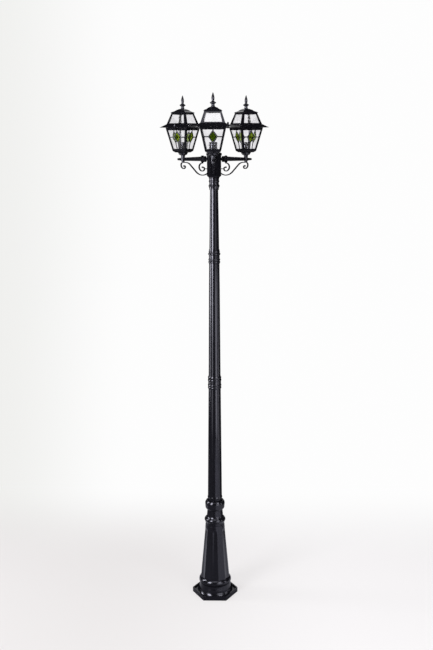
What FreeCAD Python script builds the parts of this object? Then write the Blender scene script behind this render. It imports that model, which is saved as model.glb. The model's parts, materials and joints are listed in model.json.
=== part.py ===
import FreeCAD, Part
import math
import os

# Garden lamp post with three square lanterns on scrolled arms.
# Millimetres, +Z up. The origin is the middle of the anchor holes, on the underside of the base.
# One arm points along -Y, to the front; the other two are a third of a turn to each side.

V = FreeCAD.Vector
UP = V(0, 0, 1)

# Base casting
plate_flats = 224.0
plate_height = 26.0
plate_rim_width = 6.0
plate_floor_height = 18.0
anchor_circle_r = 114.0
anchor_hole_r = 5.5
anchor_spotface_r = 9.5
anchor_count = 6
foot_toe_r = 101.0
foot_toe_height = 24.0
foot_r = 91.0
foot_neck_r = 86.0
foot_height = 48.0
torus_r = 92.0
torus_height = 34.0
shaft_foot_r = 83.4
shaft_top_r = 54.4
shaft_height = 318.0
shaft_wall = 8.0
flute_count = 12
flute_depth_share = 0.055
flute_land_deg = 2.6
flute_top_gap = 30.0
band_r = 51.5
band_height = 13.0
crown_r = 59.3
crown_height = 30.0
throat_r = 43.3
throat_height = 55.0

# Dished collar and the poles
collar_r = 55.4
collar_height = 48.0
collar_seat_drop = 12.0
pole_seat_r = 38.5
pole_foot_ring_r = 41.7
spigot_r = 36.0
spigot_length = 76.0
lower_pole_foot_r = 39.7
lower_pole_top_r = 33.5
lower_pole_length = 700.0
middle_pole_foot_r = 33.2
middle_pole_top_r = 28.2
middle_pole_length = 694.0
upper_pole_foot_r = 27.3
upper_pole_top_r = 21.2
upper_pole_length = 416.0
pole_wall = 4.6
coupling_wall = 2.2
coupling_web = 4.0
lower_coupling_height = 72.0
upper_coupling_height = 78.0
joiner_wall = 4.0
joiner_reach = 90.0
slip_fit = 0.1
grub_screw_r = 2.5

# Head
socket_height = 64.0
socket_depth = 62.0
socket_wall = 4.0
hub_flats = 65.0
hub_height = 128.0
hub_wall = 4.0
hub_flare_height = 10.0
hub_flare_foot_flats = 49.0
hub_moulding_height = 14.0
hub_moulding_proud = 3.2
panel_depth = 1.5
panel_border = 5.2
lid_height = 7.0
cable_hole_r = 12.0

# Arms; u is the distance out from the post's axis
arm_directions = {"front": -90.0, "left": 150.0, "right": 30.0}
lantern_radius = 195.0
arm_axis_height = 86.0
arm_tail = 36.0
arm_root_depth = 24.0
arm_tip_depth = 11.0
arm_root_width = 18.0
arm_tip_width = 10.0
arm_bore_r = 3.6
flange_width = 24.0
flange_height = 26.0
flange_thickness = 4.0
neck_width = 10.5
neck_depth = 16.0
arm_collar_start = 52.0
arm_collar_length = 25.0
arm_collar_width = 22.0
arm_collar_depth = 31.0
arm_bead_width = 6.0
arm_bead_proud = 3.0
arm_screw_r = 2.0
arm_screw_head_r = 2.8
arm_screw_offset = 8.8
arm_screw_head = 2.6
boss_r = 11.0
stem_r = 5.0
nut_flats = 17.0
nut_height = 5.0

# Scrolled brackets, a flat strip bent on edge
strip_thickness = 5.0
strip_width = 8.0
scroll_knob_r = 4.2
bracket_eye_r = 8.0
bracket_foot_lift = 0.9
bracket_foot_below = 4.5
bracket_foot_above = 11.5
foot_screw_rise = 6.6
bracket_foot_width = 12.0
bracket_foot_thickness = 3.0
stay_r = 2.0

# Shares of the long strip's span, from the eye under the lantern to the foot on the hub
strip_lead_share = 0.106
strip_upper_bend_share = 0.248
strip_lower_bend_share = 0.373
strip_foot_bend_share = 0.280
strip_drop_deg = 45.0
strip_foot_deg = 30.0

# Lantern body; half widths are from the lantern's own axis to a face
cup_height = 28.0
cup_neck_r = 12.5
cup_bowl_r = 28.5
body_foot_half = 40.5
body_top_half = 66.0
body_height = 118.0
body_wall = 3.0
body_bar = 10.0
body_foot_rail = 9.0
body_top_rail = 12.0
body_floor = 3.0
floor_fit = 0.1
glass_thickness = 3.0
pane_lap = 3.0
diamond_half_width = 21.5
diamond_half_share = 0.306
diamond_middle_share = 0.622
came_web = 1.2
came_flange = 4.4
came_flange_thickness = 0.7
glazing_gap = 0.1
holder_r = 21.5
holder_height = 41.0
lamp_thread_r = 13.3
lamp_thread_depth = 24.0
shell_wall = 0.7
contact_height = 2.5

# Lantern roof
roof_gap = 0.4
brim_half = 90.0
brim_lift = 2.0
brim_rise = 18.0
brim_thickness = 3.2
roof_foot_half = 62.0
roof_top_half = 43.2
roof_height = 57.0
roof_wall = 3.0
roof_plate = 3.0
roof_bar_foot = 14.0
roof_bar_top = 9.5
roof_foot_rail = 4.6
roof_top_rail = 6.5
cap_half = 46.0
cap_edge = 3.5
cap_rise = 23.0
cap_step_half = 40.5
cap_waist_half = 25.5
cap_neck_half = 10.0
finial_height = 70.0
finial_neck_r = 8.2
finial_knob_r = 16.0
finial_throat_r = 6.6
finial_spear_r = 7.8
finial_stud_r = 3.0

# Roof hinge and thumb screw
hinge_drop = 1.0
hinge_out = 3.6
knuckle_r = 3.0
hinge_pin_r = 1.5
hinge_fit = 0.06
roof_knuckle_half = 5.0
knuckle_gap = 0.35
ear_width = 6.0
screw_out = 75.0
screw_shank_r = 2.0
screw_head_r = 5.0
screw_head_height = 10.0
screw_pad_r = 6.5
screw_tab_half = 7.0
screw_tab_end = 6.5
screw_tab_thickness = 4.0
screw_hole_r = 2.7
screw_tab_drop = 2.0

# Heights worked out from the sizes above
foot_top = plate_floor_height + foot_height
foot_toe_top = plate_floor_height + foot_toe_height
foot_toe_bend_r = foot_r + 0.34 * (foot_toe_r - foot_r)
torus_top = foot_top + torus_height
shaft_top = torus_top + shaft_height
band_top = shaft_top + band_height
crown_top = band_top + crown_height
base_top = crown_top + throat_height
collar_top = base_top + collar_height
pole_seat = collar_top - collar_seat_drop
lower_joint = pole_seat + lower_pole_length
upper_joint = lower_joint + coupling_web + middle_pole_length
upper_pole_foot = upper_joint + coupling_web
upper_pole_top = upper_pole_foot + upper_pole_length
socket_foot = upper_pole_top - socket_depth
hub_foot = socket_foot + socket_height
hub_top = hub_foot + hub_height
arm_height = hub_foot + hub_flare_height + arm_axis_height
arm_underside = arm_height - arm_root_depth / 2 + 1.0
boss_foot = arm_underside - nut_height
bracket_top = boss_foot
boss_top = arm_height + 16.0
cup_top = boss_top + cup_height
body_top = cup_top + body_height
seat_z = body_top + roof_gap
brim_z = body_top + brim_lift
roof_foot = brim_z + brim_rise
roof_top = roof_foot + roof_height
cap_top = roof_top + cap_rise
hinge_y = -(body_top_half + hinge_out)
hinge_z = body_top - hinge_drop
stem_top = cup_top + body_floor + 7.0
holder_foot = cup_top + body_floor
pin_half = roof_knuckle_half + knuckle_gap + ear_width
panel_r = hub_flats / 2 - panel_depth
panel_foot = hub_foot + hub_flare_height + 5.0 + panel_border
panel_top = hub_top - hub_moulding_height - 2.0 - panel_border
flange_top = panel_top - 0.5
pad_top = brim_z + (brim_half - screw_out) * brim_rise / (brim_half - roof_foot_half) + 3.5
holder_top = holder_foot + holder_height
well_floor = holder_top - lamp_thread_depth - 1.0


def at(r, z):
    """The point at radius r and height z in the plane that gets turned or swept."""
    return V(r, 0, z)


def outline(points):
    """A closed wire through (r, z) points. Four numbers mean an arc: a point on it, then its end."""
    edges = []
    here = at(*points[0])
    for entry in points[1:]:
        end = at(entry[-2], entry[-1])
        if len(entry) == 4:
            edges.append(Part.Arc(here, at(entry[0], entry[1]), end).toShape())
        else:
            edges.append(Part.LineSegment(here, end).toShape())
        here = end
    start = at(*points[0])
    if here.distanceToPoint(start) > 1e-6:
        edges.append(Part.LineSegment(here, start).toShape())
    return Part.Wire(edges)


def turned(points):
    """A solid of revolution about the Z axis."""
    return Part.Face(outline(points)).revolve(V(0, 0, 0), UP, 360)


def dome(r, low, rise):
    """The end of an outline that rounds over from radius r to the axis."""
    ball = (r * r + rise * rise) / (2 * rise)
    half = math.asin(r / ball) / 2
    return (ball * math.sin(half), low + rise - ball + ball * math.cos(half), 0, low + rise)


def cylinder(r, low, high, x=0.0, y=0.0):
    return Part.makeCylinder(r, high - low, V(x, y, low), UP)


def rod(r, start, end):
    """A round bar from one point to another."""
    return Part.makeCylinder(r, start.distanceToPoint(end), start, end.sub(start))


def block(x0, x1, y0, y1, z0, z1):
    return Part.makeBox(x1 - x0, y1 - y0, z1 - z0, V(x0, y0, z0))


def ring_points(sides, flats, z, first_corner):
    """The corners of a regular polygon, given its width over the flats."""
    corner_r = flats / 2 / math.cos(math.pi / sides)
    angles = [first_corner + 2 * math.pi * n / sides for n in range(sides)]
    return [V(corner_r * math.cos(a), corner_r * math.sin(a), z) for a in angles]


def polygon(points):
    return Part.makePolygon(points + points[:1])


def between(start, end):
    """The flat-sided solid between two outlines whose sides are parallel, corner by corner."""
    faces = [Part.Face(polygon(start)), Part.Face(polygon(end))]
    for n in range(len(start)):
        m = (n + 1) % len(start)
        faces.append(Part.Face(polygon([start[n], start[m], end[m], end[n]])))
    solid = Part.makeSolid(Part.makeShell(faces))
    return solid if solid.Volume > 0 else solid.reversed()


def hexagon(flats, z):
    """A hexagon with a flat side to the front."""
    return ring_points(6, flats, z, 0.0)


def hex_taper(low_flats, low, high_flats, high):
    return between(hexagon(low_flats, low), hexagon(high_flats, high))


def hex_block(flats, low, high):
    return hex_taper(flats, low, flats, high)


def square(half, z):
    return [V(half, -half, z), V(half, half, z), V(-half, half, z), V(-half, -half, z)]


def square_taper(low_half, low, high_half, high):
    return between(square(low_half, low), square(high_half, high))


def turned_about(shape, degrees):
    copy = shape.copy()
    copy.rotate(V(0, 0, 0), UP, degrees)
    return copy


def around(shape, count, first=0.0):
    """Copies of a shape evenly spaced about the Z axis."""
    return [turned_about(shape, first + 360.0 * n / count) for n in range(count)]


def joined(shapes):
    """Shapes fused into one, with faces that continue each other merged."""
    whole = shapes[0].fuse(shapes[1:]) if len(shapes) > 1 else shapes[0]
    return whole.removeSplitter()


def solids_of(shapes):
    """Separate solids kept side by side in one node."""
    return Part.makeCompound([solid for shape in shapes for solid in shape.Solids])


# Post

def fluted_shaft():
    """The tapering column of the base. Its flutes are cones that share the column's own apex."""
    cone = Part.makeCone(shaft_foot_r, shaft_top_r, shaft_height, V(0, 0, torus_top), UP)
    slope = (shaft_foot_r - shaft_top_r) / shaft_height
    apex = torus_top + shaft_foot_r / slope
    half_angle = math.radians(180.0 / flute_count - flute_land_deg / 2)
    # a flute's centre lies at centre_share of the column's radius and its own radius is cut_share
    reach = 1 - flute_depth_share
    cut_share = (1 - 2 * math.cos(half_angle) * reach + reach ** 2)
    cut_share = cut_share / (2 * (math.cos(half_angle) - reach))
    centre_share = cut_share + reach

    def column_r(z):
        return (apex - z) * slope

    low = torus_top - 40.0
    high = shaft_top - flute_top_gap
    foot = at(centre_share * column_r(low), low)
    head = at(centre_share * column_r(high), high)
    axis = head.sub(foot)
    cutter = Part.makeCone(cut_share * column_r(low), cut_share * column_r(high), axis.Length, foot, axis)
    rounded_end = Part.makeSphere(cut_share * column_r(high), head)
    flutes = []
    for n in range(flute_count):
        angle = 360.0 * n / flute_count
        flutes.append(turned_about(cutter, angle))
        flutes.append(turned_about(rounded_end, angle))
    return cone.cut(flutes)


def base_casting():
    """The hexagonal foot plate, drum, fluted column and crown, hollow for the cable."""
    plate = hex_block(plate_flats, 0, plate_height)
    pocket = hex_block(plate_flats - 2 * plate_rim_width, plate_floor_height, plate_height + 1)
    foot = turned([
        (0, plate_floor_height - 5),
        (foot_toe_r, plate_floor_height - 5),
        (foot_toe_r, plate_floor_height),
        (foot_toe_bend_r, plate_floor_height + 0.35 * foot_toe_height, foot_r, foot_toe_top),
        (foot_neck_r, foot_top - 3),
        (foot_neck_r, foot_top + 2),
        (torus_r, foot_top + 0.52 * torus_height, shaft_foot_r + 1.5, torus_top),
        (shaft_foot_r - 2, torus_top + 3),
        (0, torus_top + 3),
    ])
    head = turned([
        (0, shaft_top - 4),
        (shaft_top_r - 3, shaft_top - 4),
        (shaft_top_r - 0.5, shaft_top),
        (shaft_top_r - 0.5, shaft_top + 5),
        (band_r, shaft_top + 6.5),
        (band_r, band_top),
        (crown_r - 4.5, band_top + 3),
        (crown_r - 4.5, band_top + 7),
        (crown_r - 3.2, band_top + 9),
        (crown_r, band_top + 20, crown_r - 5, crown_top),
        (throat_r + 4.6, crown_top + 7, throat_r + 2, crown_top + 19),
        (throat_r, base_top - 11),
        (throat_r, base_top - 5),
        (throat_r + 3.5, base_top),
        (0, base_top),
    ])
    cavity = turned([
        (0, -1),
        (foot_neck_r - shaft_wall, -1),
        (foot_neck_r - shaft_wall, foot_top - 8),
        (shaft_foot_r - shaft_wall - 2, torus_top),
        (shaft_top_r - shaft_wall, shaft_top),
        (spigot_r + slip_fit, band_top + 10),
        (spigot_r + slip_fit, base_top + 1),
        (0, base_top + 1),
    ])
    spotface = cylinder(anchor_spotface_r, plate_floor_height, plate_height + 20, anchor_circle_r)
    hole = cylinder(anchor_hole_r, -1, plate_height, anchor_circle_r)
    holes = around(spotface, anchor_count) + around(hole, anchor_count)
    shaft = fluted_shaft()
    body = joined([plate.cut(pocket), foot, shaft, head])
    screw_holes = [grub_hole(a, base_screw_z(), throat_r + 4) for a in (60.0, 120.0)]
    return body.cut([cavity] + holes + screw_holes)


def base_collar():
    """The separate dished ring that the lower pole stands in."""
    z = base_top
    return turned([
        (spigot_r + slip_fit, z),
        (collar_r - 5, z),
        (collar_r - 1.6, z + 6),
        (collar_r - 1.2, z + 14),
        (collar_r, z + 30),
        (collar_r - 1, z + 38, collar_r - 6, z + collar_height - 1),
        (collar_r - 8, z + collar_height + 0.6, collar_r - 10.5, z + collar_height - 2),
        (pole_seat_r + 3, pole_seat),
        (spigot_r + slip_fit, pole_seat),
    ])


def pole(foot_profile, foot, foot_r, top, top_r, inner_foot_r, inner_top_r, bottom):
    """A tapered tube: foot_profile is what its outside does below foot."""
    outside = foot_profile + [(foot_r, foot), (top_r, top)]
    inside = [
        (inner_top_r, top),
        (inner_top_r, top - joiner_reach - 10),
        (inner_foot_r, foot + joiner_reach + 10),
        (inner_foot_r, bottom),
    ]
    return turned(outside + inside)


def lower_bore_r():
    return lower_pole_top_r - pole_wall


def upper_bore_r():
    return middle_pole_top_r - pole_wall


def lower_pole():
    ring = pole_foot_ring_r
    profile = [
        (spigot_r, pole_seat - spigot_length),
        (spigot_r, pole_seat),
        (pole_seat_r, pole_seat),
        (pole_seat_r, pole_seat + 21),
        (pole_seat_r + 1, pole_seat + 24),
        (ring, pole_seat + 30, ring - 0.8, pole_seat + 36),
    ]
    return pole(profile, pole_seat + 42, lower_pole_foot_r, lower_joint, lower_pole_top_r,
                spigot_r - pole_wall, lower_bore_r(), pole_seat - spigot_length)


def middle_pole():
    foot = lower_joint + coupling_web
    return pole([], foot, middle_pole_foot_r, upper_joint, middle_pole_top_r,
                lower_bore_r(), upper_bore_r(), foot)


def upper_pole():
    return pole([], upper_pole_foot, upper_pole_foot_r, upper_pole_top, upper_pole_top_r,
                upper_bore_r(), upper_pole_top_r - 3.6, upper_pole_foot)


def taper_r(z, foot, foot_r, top, top_r):
    return foot_r + (top_r - foot_r) * (z - foot) / (top - foot)


def beaded_sleeve(foot, height, ends, beads, valley_r, sockets):
    """A sleeve with turned beads. beads holds (height above the foot, radius, half height)."""
    points = [(ends[0], foot)]
    for rise, r, half in beads:
        points.append((valley_r, foot + rise - half))
        points.append((r, foot + rise, valley_r, foot + rise + half))
    points.append((ends[1], foot + height))
    (low_r, low_top), (bore_r, bore_top), high_r = sockets
    points += [
        (high_r, foot + height),
        (high_r, bore_top),
        (bore_r, bore_top),
        (bore_r, low_top),
        (low_r, low_top),
        (low_r, foot),
    ]
    return turned(points)


def lower_coupling():
    height = lower_coupling_height
    low_r = taper_r(lower_joint - height / 2, pole_seat, lower_pole_foot_r,
                    lower_joint, lower_pole_top_r)
    sockets = ((low_r + slip_fit, lower_joint), (lower_bore_r(), lower_joint + coupling_web),
               middle_pole_foot_r + slip_fit)
    valley = low_r + coupling_wall - 0.4
    beads = [
        (0.10 * height, valley + 1.8, 5.0),
        (0.29 * height, valley + 2.0, 5.5),
        (0.69 * height, valley + 1.8, 5.5),
        (0.89 * height, valley + 1.3, 5.0),
    ]
    sleeve = beaded_sleeve(lower_joint + coupling_web / 2 - height / 2, height,
                           (valley - 0.6, valley - 1.2), beads, valley, sockets)
    return sleeve.cut([grub_hole(60, z, valley + 4) for z in coupling_screws(lower_joint)])


def upper_coupling():
    height = upper_coupling_height
    low_r = taper_r(upper_joint - height / 2, lower_joint, middle_pole_foot_r,
                    upper_joint, middle_pole_top_r)
    sockets = ((low_r + slip_fit, upper_joint), (upper_bore_r(), upper_joint + coupling_web),
               upper_pole_foot_r + slip_fit)
    valley = low_r + coupling_wall - 1.2
    beads = [
        (0.13 * height, valley + 2.9, 5.5),
        (0.30 * height, valley + 2.6, 5.5),
        (0.69 * height, valley + 3.9, 6.0),
        (0.84 * height, valley + 0.9, 3.0),
    ]
    sleeve = beaded_sleeve(upper_joint + coupling_web / 2 - height / 2, height,
                           (valley + 0.4, valley - 1.0), beads, valley, sockets)
    return sleeve.cut([grub_hole(60, z, valley + 4) for z in coupling_screws(upper_joint)])


def joiner(joint, bore_r):
    """The steel tube inside a coupling that keeps two poles in line."""
    outside = bore_r - slip_fit
    low = joint - joiner_reach
    high = joint + coupling_web + joiner_reach
    return cylinder(outside, low, high).cut(cylinder(outside - joiner_wall, low - 1, high + 1))


def grub_hole(angle, z, outer_r):
    """A radial hole for a grub screw, from inside a wall to past its outside."""
    inner = outer_r - 14
    hole = rod(grub_screw_r + slip_fit, at(inner, z), at(outer_r, z))
    return turned_about(hole, angle)


def coupling_screws(joint):
    """Heights of the two screws of a coupling, one for each pole."""
    middle = joint + coupling_web / 2
    offset = coupling_web / 2 + grub_screw_r + 2.0
    return (middle - offset, middle + offset)


def base_screw_z():
    return base_top - 18.0


def socket_screw_z():
    return socket_foot + 34.0


def post_grub_screws():
    """Grub screws that lock the poles in the base, the couplings and the head socket."""
    tip = 0.1
    rows = [(60.0, base_screw_z(), spigot_r + tip, throat_r - 0.6),
            (120.0, base_screw_z(), spigot_r + tip, throat_r - 0.6)]
    lower_r = taper_r(lower_joint - 6, pole_seat, lower_pole_foot_r, lower_joint, lower_pole_top_r)
    upper_r = taper_r(upper_joint - 6, lower_joint, middle_pole_foot_r, upper_joint, middle_pole_top_r)
    for joint, r in ((lower_joint, lower_r), (upper_joint, upper_r)):
        for z in coupling_screws(joint):
            rows.append((60.0, z, r + slip_fit + tip, r + coupling_wall - 0.4))
    rows.append((60.0, socket_screw_z(), upper_pole_top_r + 0.8, upper_pole_top_r + socket_wall - 0.5))
    screws = [turned_about(rod(grub_screw_r, at(a, z), at(b, z)), angle) for angle, z, a, b in rows]
    return solids_of(screws)


def head_socket():
    """The beaded sleeve that carries the hub on the top of the upper pole."""
    z = socket_foot
    h = socket_height
    pole_r = taper_r(socket_foot, upper_pole_foot, upper_pole_foot_r,
                     upper_pole_top, upper_pole_top_r)
    wall_r = pole_r + socket_wall - 0.6
    sleeve = turned([
        (pole_r + slip_fit, z),
        (wall_r, z),
        (wall_r, z + 0.09 * h),
        (wall_r + 2.1, z + 0.25 * h),
        (wall_r + 4.8, z + 0.31 * h, wall_r + 2.1, z + 0.39 * h),
        (wall_r + 0.3, z + 0.48 * h),
        (wall_r + 0.3, z + 0.61 * h),
        (wall_r + 2.8, z + 0.69 * h, wall_r + 1.2, z + 0.78 * h),
        (wall_r + 1.2, z + h - 6),
        (wall_r + 2.6, z + h - 4),
        (wall_r + 2.6, z + h),
        (cable_hole_r, z + h),
        (cable_hole_r, upper_pole_top),
        (pole_r + slip_fit, upper_pole_top),
    ])
    return sleeve.cut(grub_hole(60, socket_screw_z(), wall_r + 5))


def hub():
    """The hollow hexagonal box that the three arms are bolted to."""
    flare_top = hub_foot + hub_flare_height
    moulding_foot = hub_top - hub_moulding_height
    wide = hub_flats + 2 * hub_moulding_proud
    parts = [
        hex_taper(hub_flare_foot_flats, hub_foot, hub_flats + 1.6, flare_top),
        hex_block(hub_flats + 1.6, flare_top, flare_top + 5),
        hex_block(hub_flats, flare_top, hub_top - 2),
        hex_taper(hub_flats, moulding_foot - 2, wide, moulding_foot + 3),
        hex_block(wide, moulding_foot + 3, hub_top - 3),
        hex_taper(wide, hub_top - 3, wide - 4, hub_top),
    ]
    panel_width = hub_flats * math.tan(math.pi / 6) - 2 * panel_border
    panel = block(panel_r, hub_flats / 2 + 1, -panel_width / 2, panel_width / 2,
                  panel_foot, panel_top)
    inner = 2 * (panel_r - hub_wall)
    cavity = hex_block(inner, flare_top + 4, hub_top + 1)
    ways = [cylinder(cable_hole_r, hub_foot - 1, flare_top + 5)]
    for direction in arm_directions.values():
        ways.append(turned_about(arm_bore(), direction))
        ways += [turned_about(hole, direction) for hole in arm_screw_holes()]
        ways.append(turned_about(foot_screw_rod(arm_screw_r + slip_fit), direction))
    return joined(parts).cut([cavity] + around(panel, 6, 30.0) + ways)


def hub_cap():
    """A low lid that drops into the top of the hub."""
    inner = 2 * (panel_r - hub_wall) - 0.6
    wide = hub_flats + 2 * hub_moulding_proud - 6
    return joined([
        hex_block(inner, hub_top - 4, hub_top),
        hex_taper(wide, hub_top, wide - 3, hub_top + 2),
        hex_taper(wide - 3, hub_top + 2, 14, hub_top + lid_height),
    ])


# Arms, each modelled along +X and then turned to its direction

def arm_bore():
    return rod(arm_bore_r, at(panel_r - hub_wall - 2, arm_height), at(lantern_radius, arm_height))


def chamfered(width, depth, u, middle):
    """An eight-cornered section of an arm, standing across it at distance u."""
    side = width / 2
    half = depth / 2
    cut = min(width, depth) * 0.24
    corners = [
        (side, -half + cut), (side, half - cut), (side - cut, half), (-side + cut, half),
        (-side, half - cut), (-side, -half + cut), (-side + cut, -half), (side - cut, -half),
    ]
    return [V(u, y, middle + z) for y, z in corners]


def straight_bar(width, depth, start, end):
    return between(chamfered(width, depth, start, arm_height), chamfered(width, depth, end, arm_height))


def arm_collar():
    """The block and bead near the root of an arm."""
    end = arm_collar_start + arm_collar_length
    bead = end - arm_bead_width - 2
    wide = arm_collar_width + arm_bead_proud
    deep = arm_collar_depth + 2 * arm_bead_proud
    return [
        straight_bar(arm_collar_width, arm_collar_depth, arm_collar_start, end),
        straight_bar(wide, deep, bead, bead + arm_bead_width),
    ]


def arm():
    """A cast arm: wall flange, neck, collar, tapered bar with a rounded end, and the lantern's boss."""
    flange = block(panel_r, panel_r + flange_thickness, -flange_width / 2, flange_width / 2,
                   flange_top - flange_height, flange_top)
    neck = straight_bar(neck_width, neck_depth, panel_r + 1, arm_collar_start + 1)
    root = arm_collar_start + arm_collar_length - 1
    tip = lantern_radius + arm_tail
    tip_middle = arm_underside + arm_tip_depth / 2 + 3.5
    sections = [
        chamfered(arm_root_width, arm_root_depth, root, arm_underside + arm_root_depth / 2),
        chamfered(14.0, 17.0, lantern_radius, arm_underside + 9.0),
        chamfered(arm_tip_width, arm_tip_depth, tip - 5, tip_middle),
        chamfered(arm_tip_width * 0.6, arm_tip_depth * 0.6, tip, tip_middle),
    ]
    bars = [between(a, b) for a, b in zip(sections, sections[1:])]
    boss = cylinder(boss_r, arm_underside, boss_top, lantern_radius)
    whole = joined([flange, neck] + arm_collar() + bars + [boss])
    stem_hole = cylinder(stem_r + slip_fit, boss_foot - 1, boss_top + 1, lantern_radius)
    return whole.cut([arm_bore(), stem_hole] + arm_screw_holes())


def arm_screw_rods(r, start, end):
    """Two bars side by side through an arm's flange."""
    z = flange_top - flange_height / 2
    return [rod(r, V(start, y, z), V(end, y, z)) for y in (-arm_screw_offset, arm_screw_offset)]


def arm_screw_holes():
    return arm_screw_rods(arm_screw_r + slip_fit, panel_r - hub_wall - 3, panel_r + flange_thickness + 1)


def foot_screw_z():
    return foot_point()[1] + foot_screw_rise


def foot_screw_rod(r):
    z = foot_screw_z()
    return rod(r, at(panel_r - hub_wall - 2, z), at(panel_r + bracket_foot_thickness, z))


def arm_screws():
    """The screws that hold the arms and the feet of their brackets to the hub."""
    start = panel_r - hub_wall - 2
    seat = panel_r + flange_thickness
    shanks = arm_screw_rods(arm_screw_r, start, seat)
    heads = arm_screw_rods(arm_screw_head_r, seat, seat + arm_screw_head)
    one_arm = [shank.fuse(head) for shank, head in zip(shanks, heads)]
    foot_seat = panel_r + bracket_foot_thickness
    z = foot_screw_z()
    foot_head = rod(arm_screw_head_r, at(foot_seat, z), at(foot_seat + arm_screw_head, z))
    one_arm.append(foot_screw_rod(arm_screw_r).fuse(foot_head))
    return solids_of([turned_about(s, d) for d in arm_directions.values() for s in one_arm])


def lantern_stems():
    """Threaded tubes that join each lantern to its arm and carry the wires."""
    tube = cylinder(stem_r, boss_foot - strip_thickness, stem_top, lantern_radius)
    tube = tube.cut(cylinder(stem_r - 1.4, boss_foot - 9, stem_top + 1, lantern_radius))
    return solids_of([turned_about(tube, d) for d in arm_directions.values()])


def stem_nuts():
    """The hexagonal nuts under the arms."""
    nut = hex_block(nut_flats, boss_foot, arm_underside)
    nut.translate(V(lantern_radius, 0, 0))
    nut = nut.cut(cylinder(stem_r + slip_fit, boss_foot - 1, arm_underside + 1, lantern_radius))
    return solids_of([turned_about(nut, d) for d in arm_directions.values()])


# Scrolled brackets

def ribbon(start, heading_deg, moves):
    """A strip bent on edge: moves are ("run", length) or ("turn", radius, degrees), right positive.
    Returns the solid, the last point of its middle line and the last heading."""
    half = strip_thickness / 2
    point = at(*start)
    heading = math.radians(heading_deg)
    pieces = []

    def beside(where, angle, off):
        return V(where.x - math.sin(angle) * off, 0, where.z + math.cos(angle) * off)

    for move in moves:
        if move[0] == "run":
            step = V(math.cos(heading), 0, math.sin(heading)) * move[1]
            end = point.add(step)
            corners = [beside(point, heading, half), beside(end, heading, half),
                       beside(end, heading, -half), beside(point, heading, -half)]
            face = Part.Face(polygon(corners))
        else:
            radius, sweep = move[1], math.radians(move[2])
            side = -1.0 if sweep > 0 else 1.0
            centre = beside(point, heading, side * radius)
            end_heading = heading - sweep
            middle_heading = heading - sweep / 2
            end = beside(centre, end_heading, -side * radius)
            middle = beside(centre, middle_heading, -side * radius)
            left, right = [[beside(point, heading, off), beside(middle, middle_heading, off),
                            beside(end, end_heading, off)] for off in (half, -half)]
            edges = [
                Part.Arc(*left).toShape(),
                Part.LineSegment(left[2], right[2]).toShape(),
                Part.Arc(*right).toShape(),
                Part.LineSegment(right[0], left[0]).toShape(),
            ]
            face = Part.Face(Part.Wire(edges))
            heading = end_heading
        face.translate(V(0, -strip_width / 2, 0))
        pieces.append(face.extrude(V(0, strip_width, 0)))
        point = end
    return pieces, (point.x, point.z), heading


def knob(point):
    """The rolled end of a scroll."""
    width = strip_width + 1.5
    return Part.makeCylinder(scroll_knob_r, width, V(point[0], -width / 2, point[1]), V(0, 1, 0))


def eye_point():
    return (lantern_radius, bracket_top - strip_thickness / 2)


def foot_point():
    """Where the middle line of the long strip meets the back of its foot plate."""
    return (panel_r + bracket_foot_thickness, panel_foot + bracket_foot_lift + bracket_foot_below)


def long_moves():
    """From the eye under the lantern down, and then up to the hub. The two runs close the path."""
    eye, foot = eye_point(), foot_point()
    span = eye[0] - foot[0]
    drop = eye[1] - foot[1]
    fall = math.radians(strip_drop_deg)
    climb = math.radians(strip_foot_deg)
    lead = strip_lead_share * span
    upper = strip_upper_bend_share * span
    lower = strip_lower_bend_share * span
    last = strip_foot_bend_share * span
    across = span - lead - (upper + lower) * math.sin(fall) - last * math.sin(climb)
    down = drop - (upper + lower) * (1 - math.cos(fall)) + last * (1 - math.cos(climb))
    slant = (across * math.sin(climb) + down * math.cos(climb)) / math.sin(fall + climb)
    end = (across * math.sin(fall) - down * math.cos(fall)) / math.sin(fall + climb)
    return [
        ("run", lead),
        ("turn", upper, -strip_drop_deg),
        ("run", slant),
        ("turn", lower, strip_drop_deg),
        ("turn", last, strip_foot_deg),
        ("run", end + 1.0),
    ]


def long_strip():
    """The S-shaped strip with its outer scroll, eye and foot plate."""
    foot_u, foot_z = foot_point()
    inward, _, _ = ribbon(eye_point(), 180.0, long_moves())
    outer_moves = [("turn", 12.5, 90.0), ("run", 3.0), ("turn", 17.5, 90.0), ("turn", 8.5, 90.0),
                   ("turn", 5.5, 100.0)]
    outward, end, _ = ribbon(eye_point(), 0.0, outer_moves)
    eye = cylinder(bracket_eye_r, bracket_top - strip_thickness, bracket_top, lantern_radius)
    foot = block(panel_r, foot_u, -bracket_foot_width / 2, bracket_foot_width / 2,
                 foot_z - bracket_foot_below, foot_z + bracket_foot_above)
    whole = joined(inward + outward + [eye, foot, knob(end)])
    stem_hole = cylinder(stem_r + slip_fit, bracket_top - strip_thickness - 1, bracket_top + 1,
                         lantern_radius)
    return whole.cut([stem_hole, foot_screw_rod(arm_screw_r + slip_fit)])


def short_strip():
    """The C-scroll under the arm's collar, with the short stay that ties it to the hub."""
    underside = arm_height - arm_collar_depth / 2 - arm_bead_proud
    u = arm_collar_start + arm_collar_length - 2 - arm_bead_width / 2
    start = (u - 3.0, underside - strip_thickness / 2)
    moves = [("run", 3.0), ("turn", 21.0, 180.0), ("turn", 12.0, 90.0), ("turn", 8.0, 90.0), ("run", 3.0)]
    strip, end, _ = ribbon(start, 0.0, moves)
    stay_z = start[1] - 30.0
    inner_u = u - 12.0
    stay = rod(stay_r, at(panel_r, stay_z), at(inner_u, stay_z))
    return joined(strip + [knob(end), stay])


def bracket():
    return solids_of([long_strip(), short_strip()])


# Lantern body, modelled about the Z axis and then moved out to its arm

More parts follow.
